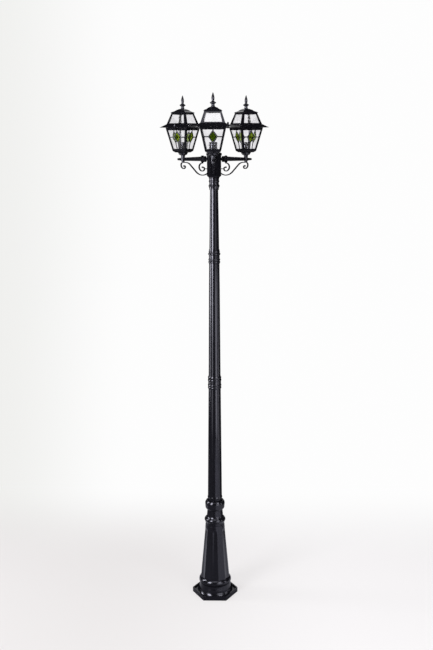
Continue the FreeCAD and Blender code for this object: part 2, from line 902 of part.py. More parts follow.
def face_placement(low_half, low, high_half, high, turn):
    """Carries flat work onto one sloping face: x along the face, y up its slope, z outwards."""
    rise = high - low
    lean = high_half - low_half
    slope = math.hypot(rise, lean)
    up_x, up_z = lean / slope, rise / slope
    matrix = FreeCAD.Matrix(0, up_x, up_z, low_half,
                            1, 0, 0, 0,
                            0, up_z, -up_x, low,
                            0, 0, 0, 1)
    spin = FreeCAD.Placement(V(0, 0, 0), FreeCAD.Rotation(UP, turn))
    return spin.multiply(FreeCAD.Placement(matrix))


def slope_length(low_half, low, high_half, high):
    return math.hypot(high - low, high_half - low_half)


def flat(points, back, front):
    """A plate with the given corners, in the coordinates of a sloping face."""
    wire = polygon([V(x, y, back) for x, y in points])
    return Part.Face(wire).extrude(V(0, 0, front - back))


def on_faces(shape, taper):
    """Copies of flat work, one on each of the four faces of a square taper."""
    copies = []
    for n in range(4):
        copy = shape.copy()
        copy.Placement = face_placement(*taper, 90.0 * n)
        copies.append(copy)
    return copies


def window(taper, foot_bar, top_bar, foot_rail, top_rail, grow):
    """The corners of a window in a sloping face, or of a pane that laps it by grow."""
    low_half, low, high_half, high = taper
    length = slope_length(*taper)
    y0 = foot_rail - grow
    y1 = length - top_rail + grow

    def half_at(y):
        share = y / length
        edge = low_half + (high_half - low_half) * share
        return edge - (foot_bar + (top_bar - foot_bar) * share) + grow

    return [(-half_at(y0), y0), (half_at(y0), y0), (half_at(y1), y1), (-half_at(y1), y1)]


def hollow_taper(taper, wall):
    """A square taper with walls and no ends."""
    low_half, low, high_half, high = taper
    slope = (high_half - low_half) / (high - low)
    across = wall * math.hypot(1, slope)
    reach = 1.0
    inner = square_taper(low_half - across - slope * reach, low - reach,
                         high_half - across + slope * reach, high + reach)
    return square_taper(*taper).cut(inner)


def body_taper():
    return (body_foot_half, cup_top, body_top_half, body_top)


def body_window(grow):
    return window(body_taper(), body_bar, body_bar, body_foot_rail, body_top_rail, grow)


def glass_height():
    """The height of a body window, up its slope."""
    return slope_length(*body_taper()) - body_top_rail - body_foot_rail


def diamond_middle():
    return body_foot_rail + diamond_middle_share * glass_height()


def diamond_half_height():
    return diamond_half_share * glass_height()


def cup():
    """The stepped cup between the arm and the lantern's body."""
    z = boss_top
    bowl = turned([
        (stem_r + slip_fit, z),
        (cup_neck_r, z),
        (cup_neck_r, z + 4),
        (cup_bowl_r - 9, z + 5.5, cup_bowl_r - 4, z + 13),
        (cup_bowl_r, z + 18),
        (cup_bowl_r, z + cup_height - 6),
        (stem_r + slip_fit, z + cup_height - 6),
    ])
    tier = square_taper(cup_bowl_r + 1, z + cup_height - 10, body_foot_half - 1, z + cup_height - 3)
    tray = square_taper(body_foot_half - 1, z + cup_height - 3, body_foot_half, z + cup_height)
    hole = cylinder(stem_r + slip_fit, z - 1, z + cup_height + 1)
    return joined([bowl, tier, tray]).cut(hole)


def hinge_barrel(r, x0, x1):
    """A round bar on the hinge's axis."""
    return rod(r, V(x0, hinge_y, hinge_z), V(x1, hinge_y, hinge_z))


def hinge_ears():
    """The two fixed knuckles on the body's top rail."""
    low_x = roof_knuckle_half + knuckle_gap
    ears = []
    for side in (-1, 1):
        x0, x1 = sorted((side * low_x, side * (low_x + ear_width)))
        barrel = hinge_barrel(knuckle_r, x0, x1)
        web = block(x0, x1, hinge_y, -body_top_half + 2.5, hinge_z - 7, body_top - 0.2)
        ears += [barrel, web]
    return ears


def body_side():
    """The +X side of the body's frame, mitred at both ends, with its window."""
    taper = body_taper()
    reach = 2 * body_top_half
    corners = [V(0, 0, cup_top - 1), V(reach, -reach, cup_top - 1), V(reach, reach, cup_top - 1)]
    wedge = Part.Face(polygon(corners)).extrude(V(0, 0, body_height + 2))
    opening = on_faces(flat(body_window(0.0), -20, 20), taper)[0]
    return hollow_taper(taper, body_wall).common(wedge).cut(opening)


def body_floor_plate():
    """The square plate between the feet of the four sides."""
    slope = (body_top_half - body_foot_half) / body_height
    low_half = body_foot_half - body_wall * math.hypot(1, slope) - floor_fit
    plate = square_taper(low_half, cup_top, low_half + slope * body_floor, cup_top + body_floor)
    return plate.cut(cylinder(stem_r + slip_fit, cup_top - 1, cup_top + body_floor + 1))


def screw_tab():
    """The lug on the body's side that the thumb screw goes through."""
    top = body_top - screw_tab_drop
    tab = block(-screw_tab_half, screw_tab_half, body_top_half - body_wall, screw_out + screw_tab_end,
                top - screw_tab_thickness, top)
    return tab.cut(cylinder(screw_hole_r, top - 10, top + 10, 0, screw_out))


def body_frame():
    """The body's frame: four cast sides mitred at the corners, one with hinge ears and one with
    the screw tab, and the floor between them."""
    east, north, west, south = [turned_about(body_side(), 90.0 * n) for n in range(4)]
    north = joined([north, screw_tab()])
    south = joined([south] + hinge_ears()).cut(hinge_barrel(hinge_pin_r, -pin_half - 1, pin_half + 1))
    return solids_of([east, north, west, south, body_floor_plate()])


def came_plan(width):
    """The lead lines of a pane as flat corners: four bars and the diamond's border."""
    foot, top = body_window(pane_lap)[0][1], body_window(pane_lap)[2][1]
    middle = diamond_middle()
    tall = diamond_half_height()
    wide = diamond_half_width
    half = width / 2
    across = body_top_half
    # a border of constant width grows the diamond by its half width measured square to the edge
    edge = math.hypot(wide, tall)
    grow_x = half * edge / tall
    grow_y = half * edge / wide

    def diamond(sign):
        x = wide + sign * grow_x
        y = tall + sign * grow_y
        return [(x, middle), (0, middle + y), (-x, middle), (0, middle - y)]

    def bar(x0, x1, y0, y1):
        return [(x0, y0), (x1, y0), (x1, y1), (x0, y1)]

    bars = [
        bar(-half, half, middle + tall, top),
        bar(-half, half, foot, middle - tall),
        bar(wide, across, middle - half, middle + half),
        bar(-across, -wide, middle - half, middle + half),
    ]
    return bars, diamond(1), diamond(-1)


def came_lines(width, back, front):
    """The lead lines as one solid between two depths."""
    bars, outer, inner = came_plan(width)
    border = flat(outer, back, front)
    lines = border.fuse([flat(bar, back, front) for bar in bars])
    return lines.cut(flat(inner, back - 1, front + 1))


def pane_depths():
    """Back and front of the glass, behind the frame's wall."""
    front = -body_wall - glazing_gap
    return (front - glass_thickness, front)


def leaded_glass():
    """One pane cut along its lead lines: the clear quarters and the green diamond."""
    back, front = pane_depths()
    sheet = flat(body_window(pane_lap), back, front)
    gap = came_lines(came_web + 2 * glazing_gap, back - 1, front + 1)
    pieces = sheet.cut(gap).Solids
    centre = V(0, diamond_middle(), (back + front) / 2)
    pieces.sort(key=lambda solid: solid.CenterOfMass.distanceToPoint(centre))
    return pieces[1:], pieces[0]


def lead_came():
    """The H-section lead strip of one pane: a web between the glass and a flange on each face."""
    back, front = pane_depths()
    bite = glazing_gap / 2
    web = came_lines(came_web, back - bite, front + bite)
    window_edge = flat(body_window(-0.3), back - 5, front + 5)
    front_flange = came_lines(came_flange, front + bite, front + bite + came_flange_thickness)
    back_flange = came_lines(came_flange, back - bite - came_flange_thickness, back - bite)
    flanges = [f.common(window_edge) for f in (front_flange, back_flange)]
    pane_area = flat(body_window(pane_lap), back - 5, front + 5)
    return joined([web.common(pane_area)] + flanges)


def body_panes():
    quarters, _ = leaded_glass()
    return solids_of([copy for quarter in quarters for copy in on_faces(quarter, body_taper())])


def green_diamonds():
    _, diamond = leaded_glass()
    return solids_of(on_faces(diamond, body_taper()))


def lead_cames():
    return solids_of(on_faces(lead_came(), body_taper()))


def lampholder():
    """The porcelain lampholder, hollow for the screw shell."""
    z = holder_foot
    top = holder_top
    well = well_floor
    shell_r = lamp_thread_r + shell_wall + slip_fit
    return turned([
        (stem_r + slip_fit, z),
        (holder_r, z),
        (holder_r, z + 12),
        (holder_r - 1.2, z + 14),
        (holder_r - 1.2, z + 24),
        (holder_r - 0.4, z + 26),
        (holder_r - 0.4, top - 3),
        (holder_r - 3, top),
        (shell_r, top),
        (shell_r, well),
        (stem_r + slip_fit, well),
    ])


def lamp_contacts():
    """The brass screw shell and the centre contact inside a lampholder."""
    shell_foot = well_floor + contact_height + 0.5
    shell = cylinder(lamp_thread_r + shell_wall, shell_foot, holder_top - 1)
    shell = shell.cut(cylinder(lamp_thread_r, shell_foot - 1, holder_top + 1))
    contact = turned([
        (0, stem_top + 0.5),
        (stem_r - 0.4, stem_top + 0.5),
        (stem_r - 0.4, well_floor),
        (3.0, well_floor + contact_height),
        (0, well_floor + contact_height),
    ])
    return solids_of([shell, contact])


# Lantern roof

def brim():
    """The sloping skirt that throws the rain clear, with the seat ring under it."""
    spread = (brim_half - roof_foot_half) / brim_rise
    drop = brim_thickness * math.hypot(1, 1 / spread)
    outside = square_taper(brim_half, brim_z, roof_foot_half, roof_foot)
    underside_half = brim_half - spread * drop
    underside = square_taper(underside_half + spread, brim_z - 1,
                             roof_foot_half - spread, roof_foot - drop + 1)
    ring_top = roof_foot - drop + 1.5
    under_skirt = square_taper(body_top_half, seat_z, body_top_half, brim_z)
    ring = square_taper(body_top_half, seat_z, body_top_half, ring_top)
    ring = ring.common(outside.fuse(under_skirt))
    roof_slope = (roof_foot_half - roof_top_half) / roof_height
    well_half = roof_foot_half - roof_wall * math.hypot(1, roof_slope)
    well = square_taper(well_half, seat_z - 1, well_half, roof_foot + 1)
    return joined([outside.cut(underside), ring]).cut(well)


def roof_taper():
    return (roof_foot_half, roof_foot, roof_top_half, roof_top)


def roof_window(grow):
    return window(roof_taper(), roof_bar_foot, roof_bar_top, roof_foot_rail, roof_top_rail, grow)


def roof_frame():
    """The roof casting: skirt, glazed pyramid, top plate, hinge knuckle and screw pad."""
    taper = roof_taper()
    shell = hollow_taper(taper, roof_wall)
    slab = square_taper(roof_foot_half, roof_top - roof_plate, roof_foot_half, roof_top)
    plate = slab.common(square_taper(*taper))
    openings = on_faces(flat(roof_window(0.0), -20, 20), taper)
    framed = shell.cut(openings)
    half = roof_knuckle_half
    back = hinge_y - knuckle_r
    leaf_top = brim_z + 7
    knuckle = hinge_barrel(knuckle_r, -half, half)
    leaf = block(-half, half, back, -body_top_half + 2, body_top + 2 * roof_gap, leaf_top)
    strap = block(-half, half, back, hinge_y + knuckle_r, hinge_z, leaf_top)
    pad = cylinder(screw_pad_r, brim_z + 4.5, pad_top, 0, screw_out)
    pin_hole = hinge_barrel(hinge_pin_r + hinge_fit, -pin_half, pin_half)
    screw_hole = cylinder(screw_shank_r + slip_fit, brim_z - 10, pad_top + 1, 0, screw_out)
    stud_hole = cylinder(finial_stud_r + slip_fit, roof_top - 5, roof_top + 1)
    whole = joined([framed, plate, brim(), knuckle, leaf, strap, pad])
    return whole.cut([pin_hole, screw_hole, stud_hole])


def roof_panes():
    front = -roof_wall - glazing_gap
    pane = flat(roof_window(pane_lap - 0.5), front - glass_thickness, front)
    return solids_of(on_faces(pane, roof_taper()))


def roof_cap():
    """The stepped pyramid that closes the roof."""
    z = roof_top
    tiers = [
        (cap_half, 0.0),
        (cap_half, cap_edge),
        (cap_step_half, 0.30 * cap_rise),
        (cap_waist_half + 5.0, 0.48 * cap_rise),
        (cap_waist_half, 0.70 * cap_rise),
        (cap_neck_half + 5.5, 0.90 * cap_rise),
        (cap_neck_half, cap_rise),
    ]
    parts = [square_taper(a[0], z + a[1], b[0], z + b[1]) for a, b in zip(tiers, tiers[1:])]
    return joined(parts).cut(cylinder(finial_stud_r + slip_fit, z - 1, cap_top + 1))


def finial():
    """The turned spear on the roof, with its stud."""
    z = cap_top
    h = finial_height
    return turned([
        (0, roof_top - 4),
        (finial_stud_r, roof_top - 4),
        (finial_stud_r, z),
        (cap_neck_half, z),
        (cap_neck_half, z + 0.04 * h),
        (finial_neck_r, z + 0.08 * h),
        (finial_neck_r, z + 0.17 * h),
        (finial_knob_r - 2.5, z + 0.22 * h),
        (finial_knob_r, z + 0.265 * h, finial_knob_r - 2.5, z + 0.31 * h),
        (finial_throat_r, z + 0.38 * h),
        (finial_throat_r, z + 0.44 * h),
        (finial_spear_r, z + 0.60 * h, finial_spear_r - 1.4, z + 0.74 * h),
        (0.35 * finial_spear_r, z + 0.93 * h),
        (0, z + h),
    ])


def hinge_pins():
    pin = hinge_barrel(hinge_pin_r, -pin_half, pin_half)
    return solids_of([on_arm(pin, d) for d in arm_directions.values()])


def thumb_screw():
    """The domed screw that holds a roof shut."""
    tip = body_top - screw_tab_drop - screw_tab_thickness - 2
    screw = turned([
        (0, tip),
        (screw_shank_r, tip),
        (screw_shank_r, pad_top),
        (screw_head_r, pad_top),
        (screw_head_r, pad_top + 0.6 * screw_head_height),
        dome(screw_head_r, pad_top + 0.6 * screw_head_height, 0.4 * screw_head_height),
    ])
    screw.translate(V(0, screw_out, 0))
    return screw


def on_arm(shape, direction):
    """Moves lantern work out to the end of an arm."""
    copy = shape.copy()
    copy.translate(V(lantern_radius, 0, 0))
    copy.rotate(V(0, 0, 0), UP, direction)
    return copy


def save(name, shape):
    os.makedirs("parts", exist_ok=True)
    shape.exportStep("parts/" + name + ".step")


def post_nodes():
    return {
        "base_casting": base_casting(),
        "base_collar": base_collar(),
        "lower_pole": lower_pole(),
        "lower_coupling": lower_coupling(),
        "lower_joiner": joiner(lower_joint, lower_bore_r()),
        "middle_pole": middle_pole(),
        "upper_coupling": upper_coupling(),
        "upper_joiner": joiner(upper_joint, upper_bore_r()),
        "upper_pole": upper_pole(),
        "head_socket": head_socket(),
        "hub": hub(),
        "hub_cap": hub_cap(),
        "post_grub_screws": post_grub_screws(),
        "arm_screws": arm_screws(),
        "lantern_stems": lantern_stems(),
        "stem_nuts": stem_nuts(),
        "hinge_pins": hinge_pins(),
    }


def lantern_nodes():
    """What each lantern is made of, before it is moved out to its arm."""
    return {
        "cup": cup(),
        "body_frame": body_frame(),
        "body_panes": body_panes(),
        "green_diamonds": green_diamonds(),
        "lead_cames": lead_cames(),
        "lampholder": lampholder(),
        "lamp_contacts": lamp_contacts(),
        "roof_frame": roof_frame(),
        "roof_panes": roof_panes(),
        "roof_cap": roof_cap(),
        "finial": finial(),
        "thumb_screw": thumb_screw(),
    }


def arm_nodes():
    return {"arm": arm(), "bracket": bracket()}


def main():
    for name, shape in post_nodes().items():
        save(name, shape)
    for name, shape in arm_nodes().items():
        for side, direction in arm_directions.items():
            save(side + "_" + name, turned_about(shape, direction))
    for name, shape in lantern_nodes().items():
        for side, direction in arm_directions.items():
            save(side + "_" + name, on_arm(shape, direction))


main()
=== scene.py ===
import json
import math

import bmesh
import bpy
from mathutils import Matrix, Vector

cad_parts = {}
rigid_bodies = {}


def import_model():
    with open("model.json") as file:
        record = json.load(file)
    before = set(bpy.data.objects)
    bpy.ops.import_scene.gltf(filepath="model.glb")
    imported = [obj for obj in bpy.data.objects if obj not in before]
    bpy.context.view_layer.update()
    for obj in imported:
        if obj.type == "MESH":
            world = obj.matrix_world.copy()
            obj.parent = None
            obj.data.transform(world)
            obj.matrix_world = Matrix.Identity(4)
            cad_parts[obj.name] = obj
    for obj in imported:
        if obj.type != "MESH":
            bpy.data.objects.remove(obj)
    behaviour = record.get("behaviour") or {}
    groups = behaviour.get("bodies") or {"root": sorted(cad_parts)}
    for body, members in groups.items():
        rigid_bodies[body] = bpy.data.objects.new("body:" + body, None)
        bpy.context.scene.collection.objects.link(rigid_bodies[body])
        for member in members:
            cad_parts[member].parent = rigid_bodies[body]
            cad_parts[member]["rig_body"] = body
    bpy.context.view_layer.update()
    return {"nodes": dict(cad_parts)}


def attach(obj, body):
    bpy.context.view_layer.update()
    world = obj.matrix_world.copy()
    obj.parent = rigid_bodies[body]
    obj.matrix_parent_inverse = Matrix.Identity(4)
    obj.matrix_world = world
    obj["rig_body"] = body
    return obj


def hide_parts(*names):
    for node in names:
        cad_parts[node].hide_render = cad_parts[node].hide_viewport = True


# Garden lamp post with three square lanterns on scrolled arms.
# Metres, +Z up, the front arm along -Y. Textures read Object coordinates, so scales are per metre.

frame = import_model()

MM = 0.001
UP = Vector((0.0, 0.0, 1.0))
FULL_TURN = 2.0 * math.pi

# Where each arm points, in degrees about Z, and how far out its lantern stands.
ARM_DEG = {"front": -90.0, "left": 150.0, "right": 30.0}
LANTERN_RADIUS = 195 * MM

WELD_GAP = 0.002 * MM
FLAT_DEG = 0.6
SHARP_DEG = 28.0
SMOOTH_DEG = 30.0
EASE_SEGMENTS = 2
FLAT_FACE_WEIGHT = 90


# Meshes and pieces

def turn_z(degrees):
    return Matrix.Rotation(math.radians(degrees), 4, "Z")


def on_arm(side):
    """Carries work made about the Z axis, with the arm along +X, out to one lantern."""
    return turn_z(ARM_DEG[side]) @ Matrix.Translation((LANTERN_RADIUS, 0.0, 0.0))


def move(bm, matrix):
    bmesh.ops.transform(bm, matrix=matrix, verts=bm.verts)


def body_of_node(node):
    return frame["nodes"][node]["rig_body"]


def add_piece(name, bm, material, body, replaced=()):
    """Turns a bmesh into a piece of the object that rides on a body."""
    mesh = bpy.data.meshes.new(name)
    bm.to_mesh(mesh)
    bm.free()
    mesh.materials.append(material)
    mesh.shade_smooth()
    mesh.set_sharp_from_angle(angle=math.radians(SMOOTH_DEG))
    piece = bpy.data.objects.new(name, mesh)
    bpy.context.scene.collection.objects.link(piece)
    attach(piece, body)
    if replaced:
        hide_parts(*replaced)
    return piece


def replace_node(node, ending, bm, material):
    """A finer piece that takes the place of its CAD node."""
    return add_piece(node + ending, bm, material, body_of_node(node), (node,))


def finish_node(node, material):
    """A CAD node whose shape is right: only its finish changes."""
    mesh = frame["nodes"][node].data
    mesh.materials.clear()
    mesh.materials.append(material)


def welded_copy(node):
    """A bmesh of a node's mesh with its triangles joined and its flat faces made whole."""
    bm = bmesh.new()
    bm.from_mesh(frame["nodes"][node].data)
    bmesh.ops.remove_doubles(bm, verts=bm.verts, dist=WELD_GAP)
    bmesh.ops.dissolve_limit(bm, angle_limit=math.radians(FLAT_DEG), verts=bm.verts,
                             edges=bm.edges, delimit={"NORMAL"})
    return bm


def soften(bm, width):
    """Rounds every sharp edge."""
    limit = math.radians(SHARP_DEG)
    edges = [e for e in bm.edges if len(e.link_faces) == 2 and e.calc_face_angle(0.0) > limit]
    bmesh.ops.bevel(bm, geom=edges, offset=width, offset_type="OFFSET", segments=EASE_SEGMENTS,
                    profile=0.5, affect="EDGES", clamp_overlap=True, material=-1)


def softened_piece(node, material, width):
    """A CAD node with eased edges, beside which its large flat faces stay flat."""
    bm = welded_copy(node)
    soften(bm, width)
    piece = replace_node(node, "_eased", bm, material)
    weighted = piece.modifiers.new("flat faces stay flat", "WEIGHTED_NORMAL")
    weighted.keep_sharp = True
    weighted.weight = FLAT_FACE_WEIGHT


def add_part(bm, part, matrix):
    """Copies a finished part into a larger bmesh at a place."""
    move(part, matrix)
    mesh = bpy.data.meshes.new("part")
    part.to_mesh(mesh)
    part.free()
    bm.from_mesh(mesh)
    bpy.data.meshes.remove(mesh)


def spin_outline(bm, points, steps, **options):
    """Sweeps a line of (radius, height) points round Z."""
    verts = [bm.verts.new((radius, 0.0, height)) for radius, height in points]
    line = verts + [bm.edges.new(pair) for pair in zip(verts, verts[1:])]
    bmesh.ops.spin(bm, geom=line, cent=(0.0, 0.0, 0.0), axis=UP, angle=FULL_TURN, steps=steps,
                   **options)
    bmesh.ops.remove_doubles(bm, verts=bm.verts, dist=WELD_GAP)
    bmesh.ops.recalc_face_normals(bm, faces=bm.faces)


def turned(points, steps):
    """A solid turned about Z from a half outline that starts and ends on the axis."""
    bm = bmesh.new()
    spin_outline(bm, points, steps, use_merge=True)
    return bm


def dome_points(radius, foot, height, steps):
    """The half outline of a dome, from its rim to the axis."""
    angles = [math.radians(90.0 * step / steps) for step in range(steps + 1)]
    return [(radius * math.cos(angle), foot + height * math.sin(angle)) for angle in angles]


# Shader nodes

MASK_LOW = 0.35
MASK_HIGH = 0.65


def feed(tree, node, sources):
    """Gives inputs of a node their numbers, their colours or links from other nodes."""
    for name, source in sources.items():
        socket = node.inputs[name]
        if isinstance(source, bpy.types.NodeSocket):
            tree.links.new(source, socket)
        elif isinstance(source, tuple):
            socket.default_value = (*source, 1.0)
        else:
            socket.default_value = source


def noise(tree, vector, scale, detail, distortion=0.0):
    texture = tree.nodes.new("ShaderNodeTexNoise")
    feed(tree, texture, {"Vector": vector, "Scale": scale, "Detail": detail,
                         "Distortion": distortion})
    return texture.outputs["Fac"]


def combined(tree, operation, first, second):
    """Two masks, or a mask and a number, put together by an operation such as a sum."""
    math_node = tree.nodes.new("ShaderNodeMath")
    math_node.operation = operation
    feed(tree, math_node, {0: first, 1: second})
    return math_node.outputs["Value"]


def ramp_between(tree, mask, low, high):
    """A value that runs from low to high as a mask crosses its middle."""
    spread = tree.nodes.new("ShaderNodeMapRange")
    feed(tree, spread, {"Value": mask, "From Min": MASK_LOW, "From Max": MASK_HIGH,
                        "To Min": low, "To Max": high})
    return spread.outputs["Result"]


def smooth_step(tree, value, start, end):
    """0 before start and 1 past end, with a soft run between."""
    step = tree.nodes.new("ShaderNodeMapRange")
    step.interpolation_type = "SMOOTHSTEP"
    feed(tree, step, {"Value": value, "From Min": start, "From Max": end})
    return step.outputs["Result"]


def colour_between(tree, mask, first, second):
    """The first colour where a mask is 0 and the second where it is 1."""
    mix = tree.nodes.new("ShaderNodeMix")
    mix.data_type = "RGBA"
    feed(tree, mix, {"Factor": mask, "A": first, "B": second})
    return mix.outputs["Result"]


def shader_between(tree, mask, first, second):
    """The first shader where a mask is 0 and the second where it is 1."""
    mix = tree.nodes.new("ShaderNodeMixShader")
    feed(tree, mix, {"Fac": mask, 1: first, 2: second})
    return mix.outputs["Shader"]


def bumped(tree, height, strength, distance):
    bump = tree.nodes.new("ShaderNodeBump")
    feed(tree, bump, {"Height": height, "Strength": strength, "Distance": distance})
    return bump.outputs["Normal"]


def glowing(tree, colour):
    glow = tree.nodes.new("ShaderNodeEmission")
    feed(tree, glow, {"Color": colour})
    return glow.outputs["Emission"]


def axes_of(tree, vector):
    axes = tree.nodes.new("ShaderNodeSeparateXYZ")
    feed(tree, axes, {"Vector": vector})
    return axes.outputs


# Shared effects

def group_input(group, name, value, kind="NodeSocketFloat"):
    group.interface.new_socket(name=name, in_out="INPUT", socket_type=kind).default_value = value


def group_output(group, name):
    group.interface.new_socket(name=name, in_out="OUTPUT", socket_type="NodeSocketFloat")


def skin_group():
    """Orange peel and casting grain: a height for bump and a mask for gloss."""
    group = bpy.data.node_groups.new("paint skin", "ShaderNodeTree")
    group_input(group, "Peel Scale", 260.0)
    group_input(group, "Grain Scale", 1100.0)
    group_input(group, "Grain Share", 0.3)
    group_output(group, "Height")
    group_output(group, "Gloss Mask")
    given = group.nodes.new("NodeGroupInput").outputs
    place = group.nodes.new("ShaderNodeTexCoord").outputs["Object"]
    height = group.nodes.new("ShaderNodeMix")
    height.data_type = "FLOAT"
    feed(group, height, {"Factor": given["Grain Share"],
                         "A": noise(group, place, given["Peel Scale"], detail=1.5),
                         "B": noise(group, place, given["Grain Scale"], detail=3.0)})
    feed(group, group.nodes.new("NodeGroupOutput"),
         {"Height": height.outputs["Result"],
          "Gloss Mask": noise(group, place, scale=14.0, detail=4.0)})
    return group


def ripple_group():
    """The wavy skin of hand-rolled glass, longer up the pane than across it."""
    group = bpy.data.node_groups.new("rolled glass ripple", "ShaderNodeTree")
    group_input(group, "Scale", 55.0)
    group_input(group, "Stretch", (1.0, 1.0, 0.45), "NodeSocketVector")
    group_output(group, "Height")
    given = group.nodes.new("NodeGroupInput").outputs
    stretch = group.nodes.new("ShaderNodeVectorMath")
    stretch.operation = "MULTIPLY"
    feed(group, stretch, {0: group.nodes.new("ShaderNodeTexCoord").outputs["Object"],
                          1: given["Stretch"]})
    feed(group, group.nodes.new("NodeGroupOutput"),
         {"Height": noise(group, stretch.outputs["Vector"], given["Scale"], detail=2.0,
                          distortion=0.8)})
    return group


def add_group(tree, group, inputs):
    node = tree.nodes.new("ShaderNodeGroup")
    node.node_tree = group
    feed(tree, node, inputs)
    return node.outputs


SKIN = skin_group()
RIPPLE = ripple_group()


# Materials

PAINT_SHADES = ((0.0032, 0.0031, 0.0042), (0.0052, 0.0050, 0.0066))
PAINT_TINT = (0.88, 0.88, 1.0)
PAINT_IOR = 1.52
PAINT_RELIEF = 0.12 * MM
METAL_RELIEF = 0.1 * MM
METAL_RELIEF_STRENGTH = 0.25
METAL_GRAIN_SHARE = 0.6
GLASS_IOR = 1.5
GLASS_RELIEF = 1.6 * MM


def blank_material(name):
    material = bpy.data.materials.new(name)
    material.use_nodes = True
    return material, material.node_tree, material.node_tree.nodes["Principled BSDF"]


def skinned_material(name, skin_inputs, shades, gloss, strength, relief, shader_inputs):
    """A clouded surface. gloss is the roughness where it is glossiest and where it is dullest."""
    material, tree, shader = blank_material(name)
    skin = add_group(tree, SKIN, skin_inputs)
    mask = skin["Gloss Mask"]
    feed(tree, shader, {"Base Color": colour_between(tree, mask, *shades),
                        "Roughness": ramp_between(tree, mask, *gloss),
                        "Normal": bumped(tree, skin["Height"], strength, relief), **shader_inputs})
    return material


def paint_material(name, grain_share, strength, gloss):
    """Black stoving paint."""
    return skinned_material(name, {"Grain Share": grain_share}, PAINT_SHADES, gloss, strength,
                            PAINT_RELIEF, {"IOR": PAINT_IOR, "Specular Tint": PAINT_TINT})


def metal_material(name, shades, gloss, peel_scale, metallic=1.0):
    """Plain metal with fine marks."""
    return skinned_material(name, {"Peel Scale": peel_scale, "Grain Share": METAL_GRAIN_SHARE},
                            shades, gloss, METAL_RELIEF_STRENGTH, METAL_RELIEF,
                            {"Metallic": metallic})


def glass_material(name, shades, ripple_scale, strength, roughness):
    """Rolled glass whose colour drifts between two shades."""
    material, tree, shader = blank_material(name)
    height = add_group(tree, RIPPLE, {"Scale": ripple_scale})["Height"]
    feed(tree, shader, {"Base Color": colour_between(tree, height, *shades),
                        "Normal": bumped(tree, height, strength, GLASS_RELIEF),
                        "Transmission Weight": 1.0, "Roughness": roughness, "IOR": GLASS_IOR})
    return material


CAST_PAINT = paint_material("black paint on castings", grain_share=0.20, strength=0.022,
                            gloss=(0.14, 0.20))
TUBE_PAINT = paint_material("black paint on tube", grain_share=0.10, strength=0.015,
                            gloss=(0.13, 0.19))
DARK_PORCELAIN = paint_material("dark glazed lampholder", grain_share=0.05, strength=0.02,
                                gloss=(0.14, 0.20))
CLEAR_GLASS = glass_material("clear rolled glass", ((0.955, 0.95, 0.96), (0.92, 0.915, 0.93)),
                             ripple_scale=75.0, strength=0.28, roughness=0.01)
GREEN_GLASS = glass_material("green cathedral glass", ((0.24, 0.33, 0.015), (0.07, 0.12, 0.004)),
                             ripple_scale=110.0, strength=0.7, roughness=0.02)
LEAD = metal_material("dark lead came", ((0.035, 0.035, 0.04), (0.075, 0.075, 0.085)),
                      gloss=(0.42, 0.62), peel_scale=600.0, metallic=0.8)
BRASS = metal_material("drawn brass", ((0.62, 0.43, 0.16), (0.74, 0.54, 0.24)),
                       gloss=(0.22, 0.38), peel_scale=500.0)
ZINC = metal_material("zinc-plated steel", ((0.48, 0.48, 0.49), (0.60, 0.60, 0.62)),
                      gloss=(0.28, 0.45), peel_scale=700.0)
BLACK_STEEL = metal_material("blackened steel", ((0.020, 0.020, 0.024), (0.05, 0.05, 0.056)),
                             gloss=(0.30, 0.48), peel_scale=700.0, metallic=0.6)


# Thumb screws

THUMB_SCREW_PLACE = Vector((0.0, 75 * MM, 0.0))
THUMB_SCREW_FOOT = 2622 * MM
THUMB_HEAD_FOOT = 2645.2 * MM
THUMB_SHANK_RADIUS = 1.95 * MM
THUMB_HEAD_RADIUS = 4.95 * MM
THUMB_HEAD_HEIGHT = 6 * MM
THUMB_EASE = 0.4 * MM
THUMB_DOME_HEIGHT = 3.9 * MM
THUMB_DOME_STEPS = 6
THUMB_KNURLS = 40
THUMB_RIM_FROM = 0.9 * THUMB_HEAD_RADIUS
KNURL_EDGE = 0.1 * MM
KNURL_DEPTH = 0.22 * MM
UPRIGHT = 0.1


def is_on_rim(face):
    """True for the upright faces round the screw's head, and not for those of its shank."""
    radius = face.calc_center_median().xy.length
    return abs(face.normal.z) < UPRIGHT and radius > THUMB_RIM_FROM


def thumb_screw():
    """A screw with a straight-knurled head under a shallow dome."""
    head_top = THUMB_HEAD_FOOT + THUMB_HEAD_HEIGHT
    points = [(0.0, THUMB_SCREW_FOOT),
              (THUMB_SHANK_RADIUS - THUMB_EASE, THUMB_SCREW_FOOT),
              (THUMB_SHANK_RADIUS, THUMB_SCREW_FOOT + THUMB_EASE),
              (THUMB_SHANK_RADIUS, THUMB_HEAD_FOOT),
              (THUMB_HEAD_RADIUS - THUMB_EASE, THUMB_HEAD_FOOT),
              (THUMB_HEAD_RADIUS, THUMB_HEAD_FOOT + THUMB_EASE),
              (THUMB_HEAD_RADIUS, head_top - THUMB_EASE),
              (THUMB_HEAD_RADIUS - THUMB_EASE, head_top)]
    dome_radius = THUMB_HEAD_RADIUS - 2.0 * THUMB_EASE
    points += dome_points(dome_radius, head_top, THUMB_DOME_HEIGHT, THUMB_DOME_STEPS)
    bm = turned(points, THUMB_KNURLS)
    knurled = [face for face in bm.faces if is_on_rim(face)]
    bmesh.ops.inset_individual(bm, faces=knurled, thickness=KNURL_EDGE, depth=-KNURL_DEPTH)
    return bm


def add_thumb_screw(side):
    bm = thumb_screw()
    move(bm, on_arm(side) @ Matrix.Translation(THUMB_SCREW_PLACE))
    replace_node(side + "_thumb_screw", "_knurled", bm, BLACK_STEEL)


# Screws with a hexagon socket

HEXAGON_SIDE = math.radians(60.0)
SOCKET_DRAFT = 0.02 * MM
ROUND_END_CORNERS = 8
FACING_OUT = 0.9


